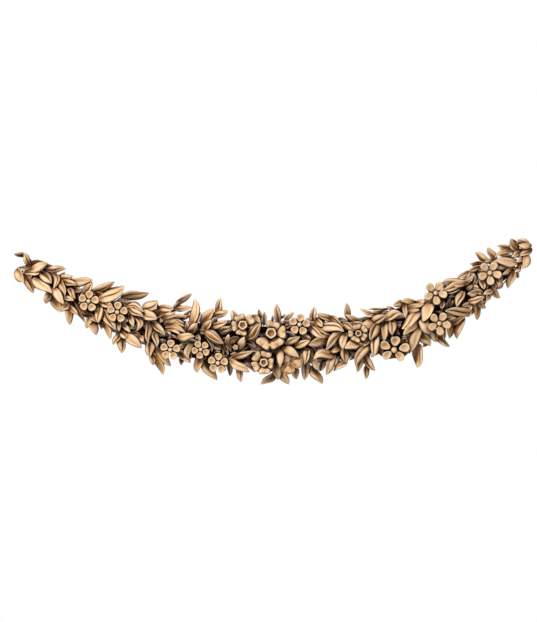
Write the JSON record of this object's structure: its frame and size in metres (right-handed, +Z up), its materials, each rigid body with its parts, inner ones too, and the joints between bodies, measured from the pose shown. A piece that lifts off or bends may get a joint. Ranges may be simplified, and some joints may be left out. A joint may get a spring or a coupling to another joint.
{
  "type": "festoon swag ornament",
  "caption": "Crescent-shaped carved wooden swag of overlapping leaves, small flowers and cupped blossoms, with a flat back for fixing to a wall, mantel or frieze.",
  "frame": {"origin": "on the flat back plane, behind the middle of the swag", "axes": "+X along the swag's width to the right as seen from the front, +Z up, +Y out of the flat back, so the carved face looks towards -Y"},
  "size_m": [0.9141, 0.0397, 0.2604],
  "materials": {
    "carved_wood": "honey-tan carved wood with a dark glaze left in the recesses, satin"
  },
  "bodies": {
    "root": {"festoon_swag": "carved_wood"}
  },
  "joints": []
}
